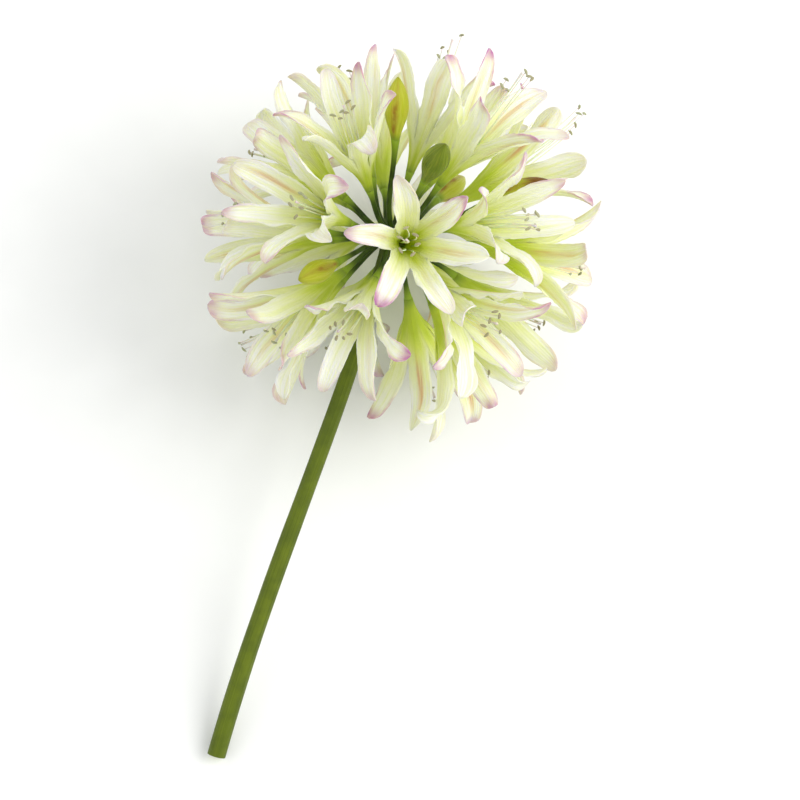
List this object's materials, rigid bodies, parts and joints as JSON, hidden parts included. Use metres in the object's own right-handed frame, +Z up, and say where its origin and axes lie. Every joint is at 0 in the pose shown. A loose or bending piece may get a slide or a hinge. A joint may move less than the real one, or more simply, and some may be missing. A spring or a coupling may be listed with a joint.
{
  "type": "agapanthus flower head",
  "caption": "Round agapanthus flower head of pale trumpet florets and buds on thin stalks, picked with its stem and lying on its side.",
  "frame": {"origin": "centre of the bounding box on the surface that the flower lies on", "axes": "+Z up from the surface, +Y from the cut end of the stem towards the head, +X to the right of the stem seen from above"},
  "size_m": [0.1634, 0.2943, 0.1516],
  "materials": {
    "stem": "satin",
    "stalk": "satin",
    "petal": "matte",
    "bud": "satin"
  },
  "bodies": {
    "root": {"scape": "stem", "umbel_stalks": "stalk", "floret_01": "petal", "floret_02": "petal", "floret_03": "petal", "floret_04": "petal", "floret_05": "petal", "floret_06": "petal", "floret_07": "petal", "floret_08": "petal", "floret_09": "petal", "floret_10": "petal", "floret_11": "petal", "floret_12": "petal", "floret_13": "petal", "floret_14": "petal", "floret_15": "petal", "floret_16": "petal", "floret_17": "petal", "floret_18": "petal", "floret_19": "petal", "floret_20": "petal", "floret_21": "petal", "floret_22": "petal", "floret_23": "petal", "floret_24": "petal", "floret_25": "petal", "floret_26": "petal", "floret_27": "petal", "bud_1": "bud", "bud_2": "bud", "bud_3": "bud", "bud_4": "bud", "bud_5": "bud"}
  },
  "joints": []
}
